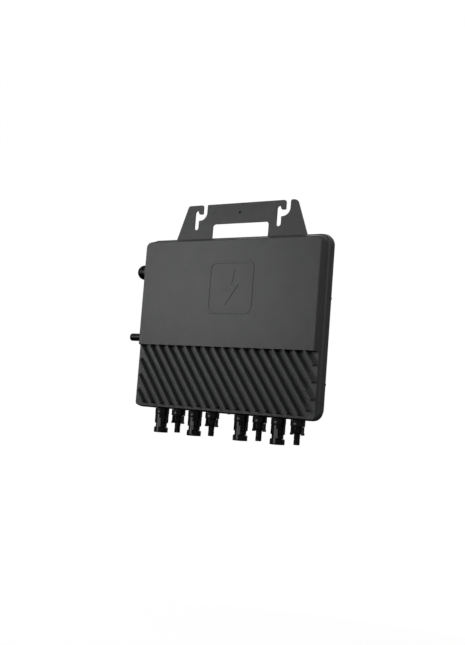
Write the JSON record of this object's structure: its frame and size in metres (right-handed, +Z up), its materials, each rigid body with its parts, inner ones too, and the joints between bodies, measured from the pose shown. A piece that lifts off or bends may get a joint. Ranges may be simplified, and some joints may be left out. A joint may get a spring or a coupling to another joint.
{
  "type": "micro inverter",
  "caption": "Flat black rail-mounted micro inverter with slanted cooling ribs, a slotted hanging bracket and push-fit connectors along its lower edge.",
  "frame": {"origin": "on the back face of the hanging bracket, on the case's centre line, 256.5 mm above the bottom of the case", "axes": "+X to the right as seen from the front, -Y out of the ribbed front, +Z up"},
  "size_m": [0.2993, 0.041, 0.3088],
  "materials": {
    "case_paint": "fine-textured satin black powder coat on die-cast aluminium",
    "bracket_paint": "fine-textured satin black powder coat on pressed plate",
    "black_plastic": "satin black moulded plastic",
    "rubber": "matt black seal rubber",
    "plated_contact": "tin-plated copper alloy",
    "screw_steel": "blackened steel",
    "board_green": "green lacquered glass-fibre board",
    "ferrite": "dark grey sintered ferrite",
    "winding": "enamelled copper winding",
    "capacitor_film": "blue moulded film capacitor case",
    "lens": "clear light pipe"
  },
  "bodies": {
    "case": {"front_housing": "case_paint", "rear_cover": "case_paint", "cover_gasket": "rubber", "mounting_bracket": "bracket_paint", "ac_port": "black_plastic", "ac_port_cap": "black_plastic", "antenna_stub": "black_plastic", "status_lens": "lens", "dc_socket_1": "black_plastic", "dc_socket_2": "black_plastic", "dc_socket_3": "black_plastic", "dc_socket_4": "black_plastic", "dc_plug_1": "black_plastic", "dc_plug_2": "black_plastic", "dc_plug_3": "black_plastic", "dc_plug_4": "black_plastic", "bracket_screw_1": "screw_steel", "bracket_screw_2": "screw_steel", "bracket_screw_3": "screw_steel", "bracket_screw_4": "screw_steel", "cover_screw_1": "screw_steel", "cover_screw_2": "screw_steel", "cover_screw_3": "screw_steel", "cover_screw_4": "screw_steel", "cover_screw_5": "screw_steel", "cover_screw_6": "screw_steel", "dc_locknut_1": "screw_steel", "dc_locknut_2": "screw_steel", "dc_locknut_3": "screw_steel", "dc_locknut_4": "screw_steel", "dc_locknut_5": "screw_steel", "dc_locknut_6": "screw_steel", "dc_locknut_7": "screw_steel", "dc_locknut_8": "screw_steel", "dc_pin_1": "plated_contact", "dc_pin_2": "plated_contact", "dc_pin_3": "plated_contact", "dc_pin_4": "plated_contact", "dc_contact_1": "plated_contact", "dc_contact_2": "plated_contact", "dc_contact_3": "plated_contact", "dc_contact_4": "plated_contact", "main_board": "board_green", "transformer_1": "ferrite", "transformer_2": "ferrite", "transformer_3": "ferrite", "transformer_4": "ferrite", "filter_choke": "winding", "bulk_capacitor": "capacitor_film", "output_relay": "black_plastic"},
    "latch_1_left": {"latch_arm_1_left": "black_plastic"},
    "latch_1_right": {"latch_arm_1_right": "black_plastic"},
    "latch_2_left": {"latch_arm_2_left": "black_plastic"},
    "latch_2_right": {"latch_arm_2_right": "black_plastic"},
    "latch_3_left": {"latch_arm_3_left": "black_plastic"},
    "latch_3_right": {"latch_arm_3_right": "black_plastic"},
    "latch_4_left": {"latch_arm_4_left": "black_plastic"},
    "latch_4_right": {"latch_arm_4_right": "black_plastic"}
  },
  "joints": [
    {"name": "latch_flex_1_left", "type": "hinge", "parent": "case", "child": "latch_1_left", "pos_m": [-0.07775, -0.0115, -0.2647], "axis": [0, -1, 0], "range_deg": [0, 7], "stiffness_Nm_per_rad": 0.3},
    {"name": "latch_flex_1_right", "type": "hinge", "parent": "case", "child": "latch_1_right", "pos_m": [-0.06335, -0.0115, -0.2647], "axis": [0, 1, 0], "range_deg": [0, 7], "stiffness_Nm_per_rad": 0.3},
    {"name": "latch_flex_2_left", "type": "hinge", "parent": "case", "child": "latch_2_left", "pos_m": [-0.02345, -0.0115, -0.2647], "axis": [0, -1, 0], "range_deg": [0, 7], "stiffness_Nm_per_rad": 0.3},
    {"name": "latch_flex_2_right", "type": "hinge", "parent": "case", "child": "latch_2_right", "pos_m": [-0.00905, -0.0115, -0.2647], "axis": [0, 1, 0], "range_deg": [0, 7], "stiffness_Nm_per_rad": 0.3},
    {"name": "latch_flex_3_left", "type": "hinge", "parent": "case", "child": "latch_3_left", "pos_m": [0.04845, -0.0115, -0.2647], "axis": [0, -1, 0], "range_deg": [0, 7], "stiffness_Nm_per_rad": 0.3},
    {"name": "latch_flex_3_right", "type": "hinge", "parent": "case", "child": "latch_3_right", "pos_m": [0.06285, -0.0115, -0.2647], "axis": [0, 1, 0], "range_deg": [0, 7], "stiffness_Nm_per_rad": 0.3},
    {"name": "latch_flex_4_left", "type": "hinge", "parent": "case", "child": "latch_4_left", "pos_m": [0.10275, -0.0115, -0.2647], "axis": [0, -1, 0], "range_deg": [0, 7], "stiffness_Nm_per_rad": 0.3},
    {"name": "latch_flex_4_right", "type": "hinge", "parent": "case", "child": "latch_4_right", "pos_m": [0.11715, -0.0115, -0.2647], "axis": [0, 1, 0], "range_deg": [0, 7], "stiffness_Nm_per_rad": 0.3}
  ]
}
